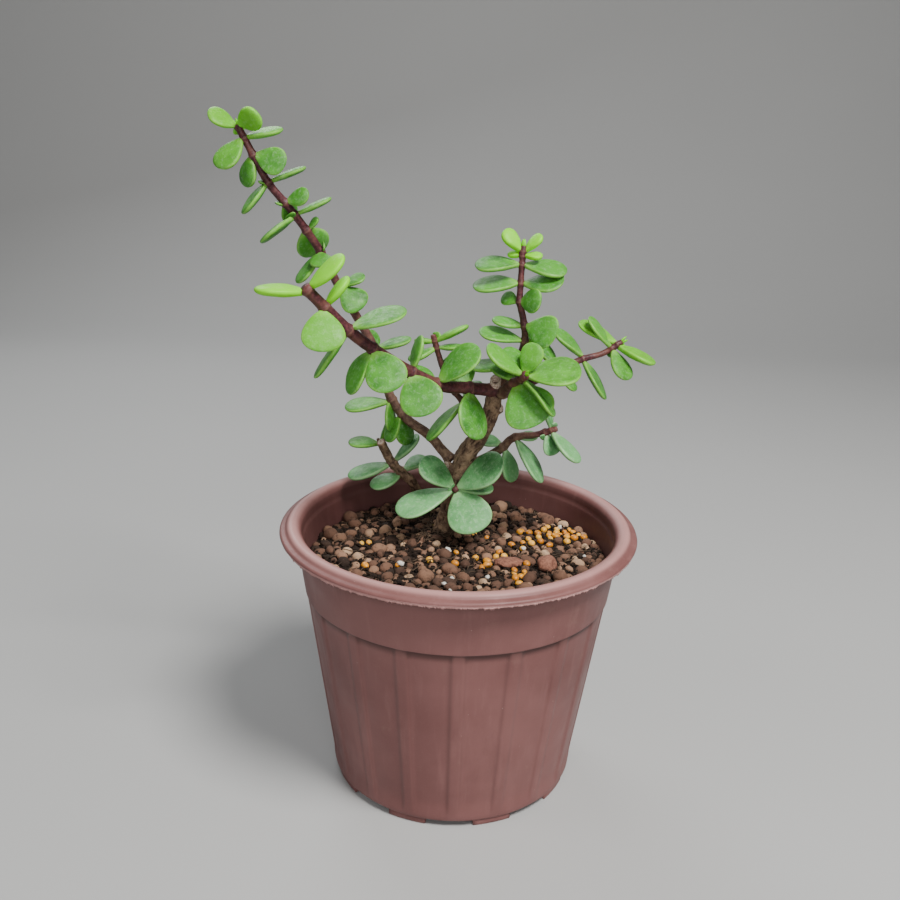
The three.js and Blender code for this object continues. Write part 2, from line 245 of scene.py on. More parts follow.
class Leaf:
    """One leaf's place: where it leaves the stem, its tip, its upper face's normal and its width."""

    def __init__(self, node, stem, base, tip, normal, width, along):
        self.node = node
        self.stem = stem
        self.base = base
        self.tip = tip
        self.normal = normal
        self.width = width
        self.along = along


# How far from the stem's skin a leaf is cut free of its collar: the first that frees the most leaves is used.
LEAF_CLEAR = np.array([1.9, 2.4, 3.0, 3.7, 4.5]) * MM
FACES_VIEWER = np.array([0.0, -0.5, 0.86])


def islands(keep, linked):
    groups = []
    left = set(keep)
    while left:
        queue = [left.pop()]
        group = set(queue)
        while queue:
            for other in linked[queue.pop()] & left:
                left.discard(other)
                group.add(other)
                queue.append(other)
        groups.append(sorted(group))
    return groups


def read_leaf_node(node):
    """The leaves of one CAD leaf node: what is left of it, in separate islands, away from its collar."""
    stem = node[len("leaves_"):].rsplit("_", 1)[0]
    centres, radii = STEMS[stem]
    path, sizes = smooth_path(centres, radii, 0.5 * MM)
    places, triangles = welded(node)
    linked = neighbours(len(places), triangles)
    gaps = np.linalg.norm(places[:, None] - path[None], axis=2)
    near = gaps.argmin(1)
    hole = gaps.min(1) - sizes[near] < 0.75 * MM
    spot = int(np.median(near[hole])) if hole.any() else int(np.median(near[gaps.min(1).argsort()[:6]]))
    centre = path[spot]
    along = path[min(spot + 1, len(path) - 1)] - path[max(spot - 1, 0)]
    along /= np.linalg.norm(along)
    reach = np.linalg.norm(places - centre, axis=1)
    trials = []
    for clear in LEAF_CLEAR:
        groups = islands(np.flatnonzero(reach > sizes[spot] + clear), linked)
        trials.append([group for group in groups if len(group) > 5])
    leaves = []
    for group in max(trials, key=len):
        corners = places[group]
        tip = corners[np.linalg.norm(corners - centre, axis=1).argmax()]
        line = tip - centre
        line /= np.linalg.norm(line)
        flat = corners - centre
        flat -= np.outer(flat @ line, line)
        flat -= flat.mean(0)
        _, _, axes = np.linalg.svd(flat, full_matrices=False)
        side = axes[0]
        normal = np.cross(line, side)
        if normal @ FACES_VIEWER < 0:
            normal = -normal
        width = 2.1 * np.abs(flat @ side).max()
        outward = line - along * (line @ along)
        base = centre + outward / np.linalg.norm(outward) * sizes[spot] * 0.8
        leaves.append(Leaf(node, stem, base, tip, normal, width, along))
    return spot, centre, leaves


LEAF_NODES = sorted(n for n in NODES if n.startswith("leaves_"))
READ_LEAVES = {node: read_leaf_node(node) for node in LEAF_NODES}
NODE_PLACES = {}
for node_name, (spot_index, node_centre, found) in READ_LEAVES.items():
    stem_name = node_name[len("leaves_"):].rsplit("_", 1)[0]
    NODE_PLACES.setdefault(stem_name, []).append(node_centre)


# ---- material helpers ----
class Shader:
    """Small wrapper that adds and links nodes of one material."""

    def __init__(self, name):
        self.material = bpy.data.materials.new(name)
        self.material.use_nodes = True
        self.tree = self.material.node_tree
        self.surface = self.tree.nodes["Principled BSDF"]
        self.place = self.node("ShaderNodeTexCoord").outputs["Object"]

    def node(self, kind, **settings):
        made = self.tree.nodes.new(kind)
        for key, value in settings.items():
            setattr(made, key, value)
        return made

    def link(self, source, target):
        self.tree.links.new(source, target)

    def value(self, name):
        return self.node("ShaderNodeAttribute", attribute_name=name).outputs["Fac"]

    def stretch(self, scale):
        mapping = self.node("ShaderNodeMapping")
        mapping.inputs["Scale"].default_value = scale
        self.link(self.place, mapping.inputs["Vector"])
        return mapping.outputs["Vector"]

    def noise(self, scale, detail=3.0, rough=0.5, where=None):
        made = self.node("ShaderNodeTexNoise")
        made.inputs["Scale"].default_value = scale
        made.inputs["Detail"].default_value = detail
        made.inputs["Roughness"].default_value = rough
        self.link(where or self.place, made.inputs["Vector"])
        return made.outputs["Fac"]

    def cells(self, scale, feature="F1", where=None):
        made = self.node("ShaderNodeTexVoronoi", feature=feature)
        made.inputs["Scale"].default_value = scale
        self.link(where or self.place, made.inputs["Vector"])
        return made.outputs["Distance"]

    def span(self, source, low, high, to_low=0.0, to_high=1.0):
        made = self.node("ShaderNodeMapRange", interpolation_type="SMOOTHSTEP")
        made.inputs["From Min"].default_value = low
        made.inputs["From Max"].default_value = high
        made.inputs["To Min"].default_value = to_low
        made.inputs["To Max"].default_value = to_high
        self.link(source, made.inputs["Value"])
        return made.outputs["Result"]

    def ramp(self, source, *stops):
        made = self.node("ShaderNodeValToRGB")
        ramp = made.color_ramp
        while len(ramp.elements) < len(stops):
            ramp.elements.new(0.5)
        for element, (at, colour) in zip(ramp.elements, stops):
            element.position = at
            element.color = (*colour, 1)
        self.link(source, made.inputs["Fac"])
        return made.outputs["Color"]

    def mix(self, factor, a, b, blend="MIX"):
        made = self.node("ShaderNodeMix", data_type="RGBA", blend_type=blend)
        for socket, source in ((made.inputs["Factor"], factor), (made.inputs["A"], a), (made.inputs["B"], b)):
            if isinstance(source, bpy.types.NodeSocket):
                self.link(source, socket)
            elif isinstance(source, tuple):
                socket.default_value = (*source, 1)
            else:
                socket.default_value = source
        return made.outputs["Result"]

    def math(self, operation, a, b=0.0):
        made = self.node("ShaderNodeMath", operation=operation)
        for socket, source in zip(made.inputs, (a, b)):
            if isinstance(source, bpy.types.NodeSocket):
                self.link(source, socket)
            else:
                socket.default_value = source
        return made.outputs[0]

    def bump(self, height, distance, strength=1.0, under=None):
        made = self.node("ShaderNodeBump")
        made.inputs["Strength"].default_value = strength
        made.inputs["Distance"].default_value = distance
        self.link(height, made.inputs["Height"])
        if under is not None:
            self.link(under, made.inputs["Normal"])
        return made.outputs["Normal"]

    def finish(self, colour, roughness, normal=None, **constants):
        self.link(colour, self.surface.inputs["Base Color"])
        if isinstance(roughness, bpy.types.NodeSocket):
            self.link(roughness, self.surface.inputs["Roughness"])
        else:
            self.surface.inputs["Roughness"].default_value = roughness
        if normal is not None:
            self.link(normal, self.surface.inputs["Normal"])
        for key, value in constants.items():
            self.surface.inputs[key.replace("_", " ")].default_value = value
        return self.material


# ---- materials ----
def pot_plastic():
    s = Shader("pot_plastic")
    cloud = s.noise(24, 4, 0.55)
    streaks = s.noise(1.0, 4, 0.6, s.stretch((300, 300, 16)))
    grain = s.noise(2400, 3, 0.6)
    base = s.mix(s.span(cloud, 0.3, 0.7), (0.142, 0.056, 0.052), (0.197, 0.085, 0.079))
    base = s.mix(s.span(streaks, 0.5, 0.8, 0, 0.3), base, (0.27, 0.13, 0.12))
    base = s.mix(s.span(grain, 0.5, 0.75, 0, 0.2), base, (0.25, 0.115, 0.105))
    dust = s.span(s.noise(110, 6, 0.7), 0.56, 0.82, 0, 0.3)
    base = s.mix(dust, base, (0.26, 0.165, 0.135))
    dark = s.span(s.noise(60, 6, 0.7, s.stretch((1, 1, 0.3))), 0.56, 0.8, 0, 0.35)
    base = s.mix(dark, base, (0.095, 0.038, 0.036))
    # painted shade: near-black mixed in just under the step, under the lip, along the rib flanks and over the
    # whole inside, where shadow falls
    base = s.mix(s.span(s.value("crease"), 0.0, 1.0, 0, 0.8), base, (0.045, 0.018, 0.016))
    specks = s.span(s.cells(520), 0.0, 0.1, 1, 0)
    rare = s.span(s.noise(170, 2), 0.6, 0.68)
    base = s.mix(s.math("MULTIPLY", specks, rare), base, (0.55, 0.42, 0.36))
    # edge value: pale wear on the lip and its flash, and also a painted highlight on the rim's top and the
    # lip's lower edge
    wear_and_highlight = s.span(s.value("edge"), 0.1, 1.0, 0, 0.6)
    base = s.mix(wear_and_highlight, base, (0.76, 0.42, 0.39))
    roughness = s.span(s.noise(55, 5, 0.6), 0.3, 0.7, 0.42, 0.58)
    height = s.math("ADD", s.math("MULTIPLY", streaks, 0.5), s.math("MULTIPLY", grain, 0.3))
    return s.finish(base, roughness, s.bump(height, 0.1 * MM, 0.6), Specular_IOR_Level=0.3)


def leaf_skin(name, deep, bright, pale, bloom):
    """deep and bright are the blade's colours, pale its rim's and stalk's, bloom the share of greyish wax."""
    s = Shader(name)
    tone = s.value("tone")
    patches = s.noise(190, 3, 0.5)
    mottle = s.noise(1500, 4, 0.65)
    blade = s.mix(s.span(patches, 0.3, 0.7), deep, bright)
    blade = s.mix(s.span(tone, 0, 1, 0, 0.7), blade, bright)
    blade = s.mix(s.span(mottle, 0.5, 0.8, 0, 0.2), blade, pale)
    vein = s.span(s.value("across"), 0.16, 0.0, 0, 0.18)
    blade = s.mix(vein, blade, pale)
    rim = s.span(s.value("across"), 0.84, 1.0, 0, 0.7)
    stalk = s.span(s.value("along"), 0.26, 0.0, 0, 0.8)
    blade = s.mix(rim, blade, pale)
    blade = s.mix(stalk, blade, pale)
    wax = s.math("MULTIPLY", s.span(s.noise(800, 6, 0.7), 0.46, 0.72), bloom)
    blade = s.mix(wax, blade, (0.46, 0.62, 0.42))
    blade = s.mix(s.span(s.value("age"), 0, 1, 0, 0.85), blade, (0.22, 0.68, 0.0))
    spots = s.math("MULTIPLY", s.span(s.cells(420), 0.0, 0.09, 1, 0), s.span(s.noise(120, 2), 0.6, 0.66))
    blade = s.mix(s.math("MULTIPLY", spots, 0.8), blade, (0.62, 0.66, 0.5))
    brown = s.math("MULTIPLY", s.span(s.cells(240), 0.0, 0.07, 1, 0), s.span(s.noise(70, 2, 0.5), 0.64, 0.7))
    blade = s.mix(brown, blade, (0.2, 0.13, 0.06))
    roughness = s.span(s.noise(600, 4, 0.6), 0.3, 0.75, 0.42, 0.62)
    height = s.math("ADD", s.math("MULTIPLY", s.noise(1700, 3, 0.6), 0.5), s.noise(300, 3))
    s.surface.inputs["Subsurface Radius"].default_value = (0.35, 0.6, 0.15)
    return s.finish(blade, roughness, s.bump(height, 0.17 * MM, 0.75), Specular_IOR_Level=0.3,
                    Subsurface_Weight=0.15, Subsurface_Scale=1.5 * MM)


def stem_bark():
    s = Shader("stem_bark")
    age = s.value("age")
    streaks = s.noise(900, 4, 0.6)
    young = s.mix(s.span(streaks, 0.35, 0.7), (0.04, 0.01, 0.014), (0.115, 0.032, 0.038))
    blush = s.span(s.noise(160, 3), 0.45, 0.7, 0, 0.5)
    young = s.mix(blush, young, (0.17, 0.065, 0.045))
    cork = s.mix(s.span(s.noise(420, 5, 0.65), 0.35, 0.7), (0.1, 0.06, 0.042), (0.33, 0.22, 0.135))
    cork = s.mix(s.span(s.noise(1500, 3, 0.6), 0.55, 0.8, 0, 0.6), cork, (0.48, 0.37, 0.25))
    colour = s.mix(s.span(age, 0.15, 0.85), young, cork)
    colour = s.mix(s.span(s.value("scar"), 0.2, 1.0, 0, 0.35), colour, (0.22, 0.12, 0.08))
    colour = s.mix(s.span(s.value("groove"), 0.2, 1.0, 0, 0.8), colour, (0.035, 0.02, 0.014))
    roughness = s.span(age, 0.1, 0.9, 0.42, 0.88)
    height = s.math("ADD", s.noise(1400, 5, 0.65), s.math("MULTIPLY", s.noise(4200, 2), 0.4))
    return s.finish(colour, roughness, s.bump(height, 0.16 * MM, 0.7), Specular_IOR_Level=0.25)


def cut_wood():
    s = Shader("cut_wood")
    grain = s.noise(1700, 4, 0.6)
    colour = s.mix(s.span(grain, 0.35, 0.7), (0.34, 0.22, 0.16), (0.68, 0.55, 0.45))
    return s.finish(colour, 0.85, s.bump(grain, 0.12 * MM, 0.7))


def root_wood():
    s = Shader("root_wood")
    grain = s.noise(800, 5, 0.6)
    colour = s.mix(s.span(grain, 0.3, 0.7), (0.16, 0.1, 0.06), (0.38, 0.27, 0.17))
    return s.finish(colour, 0.9, s.bump(grain, 0.2 * MM, 0.7))


def humus():
    s = Shader("humus")
    crumbs = s.noise(700, 6, 0.7)
    fine = s.noise(2600, 4, 0.6)
    colour = s.mix(s.span(crumbs, 0.35, 0.7), (0.007, 0.004, 0.003), (0.035, 0.02, 0.012))
    colour = s.mix(s.span(fine, 0.62, 0.8, 0, 0.5), colour, (0.1, 0.062, 0.036))
    height = s.math("ADD", crumbs, s.math("MULTIPLY", fine, 0.4))
    return s.finish(colour, 0.95, s.bump(height, 0.6 * MM, 0.9), Specular_IOR_Level=0.25)


def clay_grain():
    s = Shader("clay_grain")
    tone = s.value("tone")
    colour = s.ramp(tone, (0.0, (0.02, 0.012, 0.008)), (0.25, (0.07, 0.036, 0.024)),
                    (0.5, (0.15, 0.075, 0.047)), (0.75, (0.26, 0.145, 0.09)), (1.0, (0.44, 0.29, 0.18)))
    dirt = s.noise(420, 6, 0.7)
    colour = s.mix(s.span(dirt, 0.5, 0.68, 0, 0.7), colour, (0.018, 0.01, 0.006))
    colour = s.mix(s.span(s.noise(2400, 3, 0.6), 0.6, 0.8, 0, 0.4), colour, (0.4, 0.27, 0.18))
    height = s.math("ADD", s.noise(1500, 5, 0.65), s.math("MULTIPLY", s.noise(4500, 2), 0.5))
    return s.finish(colour, 0.9, s.bump(height, 0.25 * MM, 0.8), Specular_IOR_Level=0.3)


def prill_coat():
    s = Shader("prill_coat")
    tone = s.value("tone")
    colour = s.ramp(tone, (0.0, (0.5, 0.17, 0.008)), (0.5, (0.68, 0.28, 0.014)), (1.0, (0.78, 0.42, 0.06)))
    colour = s.mix(s.span(s.noise(800, 4, 0.6), 0.52, 0.75, 0, 0.5), colour, (0.3, 0.14, 0.03))
    return s.finish(colour, 0.42, s.bump(s.noise(2200, 3), 0.08 * MM, 0.5), Subsurface_Weight=0.12,
                    Subsurface_Scale=0.6 * MM)


def perlite():
    s = Shader("perlite")
    pores = s.noise(2600, 4, 0.7)
    colour = s.mix(s.span(pores, 0.35, 0.7), (0.42, 0.38, 0.32), (0.82, 0.8, 0.76))
    return s.finish(colour, 0.8, s.bump(pores, 0.2 * MM, 0.8))


def fibre():
    s = Shader("fibre")
    colour = s.mix(s.noise(600, 3), (0.022, 0.013, 0.008), (0.13, 0.08, 0.045))
    return s.finish(colour, 0.9)


def brick_flake():
    s = Shader("brick_flake")
    grain = s.noise(1100, 5, 0.65)
    colour = s.mix(s.span(grain, 0.3, 0.7), (0.12, 0.042, 0.027), (0.28, 0.12, 0.075))
    return s.finish(colour, 0.9, s.bump(grain, 0.3 * MM, 0.8))


def stage_paint():
    s = Shader("stage_paint")
    colour = s.mix(s.noise(3, 2), (0.36, 0.36, 0.355), (0.39, 0.39, 0.385))
    return s.finish(colour, 0.85)


POT_PLASTIC = pot_plastic()
LEAF_GREEN = leaf_skin("leaf_green", (0.024, 0.14, 0.01), (0.07, 0.29, 0.022), (0.2, 0.47, 0.06), 0.2)
LEAF_GREY = leaf_skin("leaf_grey", (0.05, 0.19, 0.055), (0.135, 0.38, 0.13), (0.3, 0.55, 0.24), 0.35)
STEM_BARK = stem_bark()
CUT_WOOD = cut_wood()


def keep(piece, *nodes, slot):
    """Rides a piece on the one body and hides the CAD nodes it stands for; slot is not used."""
    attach(piece, "root")
    if nodes:
        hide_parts(*nodes)
    return piece


# ---- pot ----
POT_LOW, POT_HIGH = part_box("pot")
LIP_RADIUS = POT_HIGH.y
RIM_TOP = POT_HIGH.z
FLUTES = 18
STEPS_PER_FLUTE = 32
RIB_OFFSET = math.radians(1.5)
STEP_HEIGHT = 0.75 * RIM_TOP
FLOOR_LIFT = 2.2 * MM
FLUTE_DEPTH = 0.95 * MM
RIB_DROP = 0.35 * MM
FLOOR_RADIUS = LIP_RADIUS - 19.6 * MM
BAND_TOP = 93.6 * MM
BAND_TOP_RADIUS = LIP_RADIUS - 6.2 * MM
PLASTIC = 1.6 * MM


def wall_radius(z):
    return FLOOR_RADIUS + (BAND_TOP_RADIUS - FLOOR_RADIUS) * z / BAND_TOP


def arc(centre, radius, start, end, count):
    """Points on an arc in the profile's plane, angles in degrees anticlockwise from outward."""
    angles = np.radians(np.linspace(start, end, count))
    return [(centre[0] + radius * math.cos(a), centre[1] + radius * math.sin(a)) for a in angles]


def pot_outside():
    """From the floor's underside up the wall to the lip and over its roll to the inner edge."""
    lip = LIP_RADIUS
    points = [(0.0, FLOOR_LIFT), (FLOOR_RADIUS * 0.5, FLOOR_LIFT), (FLOOR_RADIUS - 1.5 * MM, FLOOR_LIFT)]
    points += arc((wall_radius(3.2 * MM) - 1.3 * MM, 3.5 * MM), 1.3 * MM, -80, -5, 6)
    points += [(wall_radius(z), z) for z in np.linspace(5, 74.2, 22) * MM]
    points += [(wall_radius(z), z) for z in (74.6 * MM, 74.95 * MM, 75.3 * MM, 78 * MM, 84 * MM, 90 * MM)]
    points += arc((BAND_TOP_RADIUS + 1.2 * MM, 93.4 * MM), 1.2 * MM, 180, 110, 5)
    points += [(lip - 2.2 * MM, 95.2 * MM), (lip - 0.8 * MM, 95.7 * MM)]
    points += arc((lip - 1.0 * MM, 97.2 * MM), 1.0 * MM, -75, 80, 10)
    points += [(lip - 1.7 * MM, 98.35 * MM), (lip - 2.1 * MM, 98.5 * MM), (lip - 2.4 * MM, 98.8 * MM)]
    points += arc((lip - 4.2 * MM, 98.1 * MM), 1.9 * MM, 30, 105, 9)
    points += [(lip - 5.6 * MM, 99.72 * MM), (lip - 6.6 * MM, 99.15 * MM), (lip - 7.4 * MM, 98.35 * MM)]
    return points


def pot_inside():
    """Down the inside from the roll: a short face, a soft ledge, the band, the step and the floor."""
    lip = LIP_RADIUS
    step = wall_radius(STEP_HEIGHT) - PLASTIC - FLUTE_DEPTH
    points = [(lip - 7.9 * MM, 97.3 * MM), (lip - 8.05 * MM, 95.6 * MM), (lip - 8.1 * MM, 94.6 * MM)]
    points += [(lip - 8.5 * MM, 94.0 * MM), (lip - 8.75 * MM, 93.2 * MM), (lip - 8.85 * MM, 91.5 * MM)]
    points += [(step + 0.7 * MM, 82 * MM), (step, STEP_HEIGHT), (step - 4.4 * MM, 40 * MM)]
    points += [(wall_radius(6 * MM) - PLASTIC - FLUTE_DEPTH, 6 * MM)]
    points += [(FLOOR_RADIUS - 4 * MM, FLOOR_LIFT + PLASTIC), (0.0, FLOOR_LIFT + PLASTIC)]
    return points


def flute_share(turn):
    """1 on a sunk panel, 0 on a rib, with soft flanks. turn is the angle round the pot in radians."""
    pitch = 2 * math.pi / FLUTES
    off = abs((turn + pitch / 2) % pitch - pitch / 2)
    rib = math.radians(1.5)
    flank = math.radians(2.2)
    share = float(np.clip((off - rib) / flank, 0, 1))
    return share ** 2 * (3 - 2 * share)


def build_pot():
    outside = pot_outside()
    profile = np.array(outside + pot_inside())
    sides = FLUTES * STEPS_PER_FLUTE
    turns = np.arange(sides) / sides * 2 * math.pi
    share = np.array([flute_share(t) for t in turns])
    wobble = np.array([noise.noise((3 * math.cos(t), 3 * math.sin(t), 0.5)) for t in turns])
    verts = []
    edge = []
    crease = []
    flank = 4 * share * (1 - share)
    for index, (radius, z) in enumerate(profile[1:-1], start=1):
        on_wall = index < len(outside) and 4.5 * MM < z < STEP_HEIGHT - 0.2 * MM and radius > FLOOR_RADIUS
        fade = min(1.0, max(0.0, (z - 4.5 * MM) / (4 * MM))) if on_wall else 0.0
        sunk = RIB_DROP + share * (FLUTE_DEPTH - RIB_DROP) if on_wall else 0.0
        placed = radius - sunk * fade + wobble * 0.18 * MM * (radius > 0.03)
        ring = np.stack([placed * np.sin(turns + RIB_OFFSET), -placed * np.cos(turns + RIB_OFFSET),
                         np.full(sides, z)], axis=1)
        verts.append(ring)
        # lip's lower edge: pale wear plus a painted highlight; rim top: a painted highlight
        lip_edge = math.exp(-((radius - LIP_RADIUS) / (0.8 * MM)) ** 2) * (95 * MM < z < 97.3 * MM)
        rim_top_highlight = math.exp(-((z - RIM_TOP) / (1.3 * MM)) ** 2) * (index < len(outside))
        edge.append(np.full(sides, 0.6 * max(lip_edge, rim_top_highlight)))
        # painted shade values: a shadow line under the step, a shadow band under the lip, darker rib flanks
        # and a darker inside wall
        step_shade = math.exp(-((z - STEP_HEIGHT + 0.5 * MM) / (0.75 * MM)) ** 2)
        under_step = 1.3 * step_shade * (0.55 + 0.45 * share)
        inside_shade = 0.55 if index >= len(outside) else 0.0
        lip_shadow = 0.7 * math.exp(-((z - 94.6 * MM) / (1.8 * MM)) ** 2) * (index < len(outside))
        crease.append(np.clip(under_step * on_wall + lip_shadow + inside_shade + 0.3 * flank * fade, 0, 1))
    verts.append(np.array([[0, 0, profile[0][1]], [0, 0, profile[-1][1]]]))
    edge.append(np.zeros(2))
    crease.append(np.zeros(2))
    parts = MeshParts()
    parts.add(np.concatenate(verts), ring_faces(len(profile) - 2, sides),
              edge=np.concatenate(edge), crease=np.concatenate(crease))
    add_feet(parts)
    piece = parts.make("pot_shell", POT_PLASTIC)
    drill_drains(piece)
    return keep(piece, "pot", slot="pot_plastic")


FEET = 9
FOOT_SPAN = math.radians(18)
FOOT_WIDTH = 3.6 * MM
DRAINS = 8
DRAIN_CIRCLE = 29 * MM
DRAIN_RADIUS = 4 * MM


def add_feet(parts):
    """Short curved feet under the wall, and one round foot in the middle of the floor."""
    for i in range(FEET):
        middle = -math.pi / 2 + math.radians(20) + i * 2 * math.pi / FEET
        outline = []
        for radius, direction in ((FLOOR_RADIUS - 0.35 * MM, 1), (FLOOR_RADIUS - FOOT_WIDTH, -1)):
            for a in np.linspace(-0.5, 0.5, 9) * direction:
                turn = middle + a * FOOT_SPAN
                outline.append((radius * math.cos(turn), radius * math.sin(turn)))
        add_prism(parts, outline, POT_LOW.z, FLOOR_LIFT + 0.9 * MM)
    add_prism(parts, circle((0, 0), 8 * MM, 40), POT_LOW.z, FLOOR_LIFT + 0.6 * MM)


def circle(centre, radius, count):
    turns = np.linspace(0, 2 * math.pi, count, endpoint=False)
    return [(centre[0] + radius * math.cos(a), centre[1] + radius * math.sin(a)) for a in turns]


def add_prism(parts, outline, low, high):
    """A closed upright prism with a small bevel at its foot."""
    flat = np.array(outline)
    middle = flat.mean(0)
    bevel = 0.35 * MM
    shrink = flat + (middle - flat) / np.linalg.norm(middle - flat, axis=1)[:, None] * bevel
    rings = [(shrink, low), (flat, low + bevel), (flat, high)]
    verts = np.concatenate([np.column_stack([ring, np.full(len(ring), z)]) for ring, z in rings])
    ends = np.array([[*middle, low], [*middle, high]])
    parts.add(np.concatenate([verts, ends]), ring_faces(3, len(flat)), edge=0.0, crease=0.0)


def drill_drains(piece):
    """Round drain holes through the floor."""
    cutters = MeshParts()
    for centre in circle((0, 0), DRAIN_CIRCLE, DRAINS):
        add_prism(cutters, circle(centre, DRAIN_RADIUS, 28), 0.6 * MM, 6 * MM)
    cutter = cutters.make("drain_cutter", POT_PLASTIC)
    cut = piece.modifiers.new("drains", "BOOLEAN")
    cut.object = cutter
    cut.operation = "DIFFERENCE"
    cut.solver = "EXACT"
    apply_modifiers(piece)
    bpy.data.objects.remove(cutter)


def apply_modifiers(piece):
    shown = piece.evaluated_get(bpy.context.evaluated_depsgraph_get())
    mesh = bpy.data.meshes.new_from_object(shown)
    piece.modifiers.clear()
    piece.data = mesh


def build_flash():
    """The thin ragged fin of moulding flash along the lip's lower outer edge."""
    rng = random.Random(11)
    sides = 1100
    turns = np.arange(sides) / sides * 2 * math.pi
    broad = np.array([noise.noise((40 * math.cos(t), 40 * math.sin(t), 1)) for t in turns])
    fine = np.array([noise.noise((160 * math.cos(t), 160 * math.sin(t), 4)) for t in turns])
    drop = (0.15 + 0.75 * np.maximum(0.05, broad * 0.9 + fine * 0.7 + 0.32)) * MM
    swing = np.array([rng.uniform(-0.1, 0.14) for _ in turns]) * MM
    rings = []
    for radius, z in ((LIP_RADIUS - 0.75 * MM, 96.5 * MM), (LIP_RADIUS - 0.12 * MM, 96.75 * MM)):
        rings.append(np.stack([radius * np.sin(turns), -radius * np.cos(turns), np.full(sides, z)], axis=1))
    tip = LIP_RADIUS - 0.42 * MM + swing
    rings.append(np.stack([tip * np.sin(turns), -tip * np.cos(turns), 96.5 * MM - drop], axis=1))
    faces = []
    for r in range(3):
        for k in range(sides):
            n = (k + 1) % sides
            s = (r + 1) % 3
            faces.append((r * sides + k, s * sides + k, s * sides + n, r * sides + n))
    parts = MeshParts()
    # the flash takes the same pale edge mix: part wear, part painted highlight
    parts.add(np.concatenate(rings), faces, edge=0.6, crease=0.0)
    return keep(parts.make("lip_flash", POT_PLASTIC), slot="pot_plastic")


# ---- stems ----
# Corkiness of each stem at its foot and at its tip: 1 is old bark, 0 smooth maroon skin.
STEM_AGES = {
    "trunk": (1.0, 0.85), "left_limb": (0.28, 0.0), "long_shoot": (0.72, 0.0),
    "mid_twig": (0.7, 0.2), "centre_shoot": (0.5, 0.0), "rosette_twig": (0.6, 0.15),
    "right_shoot": (0.5, 0.0), "lower_right_branch": (1.0, 0.2), "front_spur": (0.6, 0.3),
    "sucker": (1.0, 0.75), "small_twig": (0.7, 0.5),
}
# How far each stem's foot runs back into the wood it grows from.
ROOT_REACH = {"left_limb": 4.0 * MM, "sucker": 0.0, "trunk": 0.0}


def bark_relief(turn, length, radius, rough, seed):
    """Height of corky bark at a place on a stem, and how deep in a crack it is."""
    where = Vector((math.cos(turn) * radius * 900, math.sin(turn) * radius * 900, length * 260 + seed * 7.3))
    ridges = 1 - abs(noise.noise(where)) * 2
    fine = noise.noise(where * 2.7)
    crack = max(0.0, (0.42 - ridges) / 0.42) if ridges < 0.42 else 0.0
    return rough * (0.10 * ridges + 0.05 * fine - 0.12 * crack), crack


def build_stem(name, seed):
    centres, radii = STEMS[name]
    reach = ROOT_REACH.get(name, 2.6 * MM)
    if reach:
        back = centres[0] - centres[1]
        back /= np.linalg.norm(back)
        centres = np.vstack([centres[0] + back * reach, centres])
        radii = np.concatenate([[radii[0] * 1.15], radii])
    path, sizes = smooth_path(centres, radii, 0.4 * MM)
    sides = 40 if name == "trunk" else 24
    lengths = np.concatenate([[0], np.cumsum(np.linalg.norm(np.diff(path, axis=0), axis=1))])
    _, squares = frames_along(path)
    age_from, age_to = STEM_AGES[name]
    collars = NODE_PLACES.get(name, [])
    collar_at = [lengths[np.linalg.norm(path - c, axis=1).argmin()] for c in collars]
    rough = 2.6 if name in ("trunk", "sucker") else 0.9
    verts = []
    ages = []
    scars = []
    grooves = []
    for i, (centre, size) in enumerate(zip(path, sizes)):
        share = lengths[i] / lengths[-1]
        age = age_from + (age_to - age_from) * share ** 0.8
        gaps = [abs(lengths[i] - at) for at in collar_at]
        swell = sum(0.4 * MM * math.exp(-(g / (0.95 * MM)) ** 2) for g in gaps)
        scar = max([math.exp(-(g / (0.45 * MM)) ** 2) for g in gaps], default=0.0)
        flare = 1.0
        if name == "trunk":
            flare += 0.35 * math.exp(-max(0.0, centre[2] - 0.086) / (6 * MM))
        elif name != "sucker":
            flare += 0.28 * math.exp(-lengths[i] / (2.4 * MM))
        across, beside = squares[i]
        for k in range(sides):
            turn = k / sides * 2 * math.pi
            relief, crack = bark_relief(turn, lengths[i], size, rough * (0.3 + 0.9 * age), seed)
            out = size * flare + swell + relief * MM
            verts.append(centre + (across * math.cos(turn) + beside * math.sin(turn)) * out)
            ages.append(age)
            scars.append(scar)
            grooves.append(min(1.0, crack * 1.4) * age)
    verts += [path[0], path[-1] + (path[-1] - path[-2]) * 0.8]
    for values in (ages, scars, grooves):
        values += [values[0], values[-1]]
    parts = MeshParts()
    parts.add(np.array(verts), ring_faces(len(path), sides), age=ages, scar=scars, groove=grooves)
    slot = "bark" if name in ("trunk", "sucker") else "red_stem"
    return keep(parts.make(name + "_wood", STEM_BARK), name, slot=slot)


BUD_LENGTH = 1.5 * MM


def build_buds():
    """A pair of tiny folded leaves at the end of each growing shoot."""
    rng = random.Random(31)
    verts, faces = BALLS[3]
    for name in ("long_shoot", "centre_shoot", "rosette_twig", "right_shoot"):
        centres, _ = STEMS[name]
        along = centres[-1] - centres[-2]
        along /= np.linalg.norm(along)
        beside = np.cross(along, (0.2, 0.5, 0.8))
        beside /= np.linalg.norm(beside)
        other = np.cross(along, beside)
        parts = MeshParts()
        for sign in (1, -1):
            size = BUD_LENGTH * rng.uniform(0.85, 1.1)
            narrow = 1 - 0.55 * (verts[:, 2] * 0.5 + 0.5) ** 2
            local = np.stack([verts[:, 0] * 0.34 * size * narrow, verts[:, 1] * 0.55 * size * narrow,
                              verts[:, 2] * size], axis=1)
            spread = local[:, 0] + sign * (0.18 * size + 0.16 * size * (verts[:, 2] + 1))
            places = (centres[-1] + np.outer(spread, other) + np.outer(local[:, 1], beside)
                      + np.outer(local[:, 2] + 0.7 * size, along))
            parts.add(places, faces, along=0.6, across=0.3, tone=0.7, age=0.7)
        keep(parts.make(name + "_bud", LEAF_GREEN), slot="young_leaf")


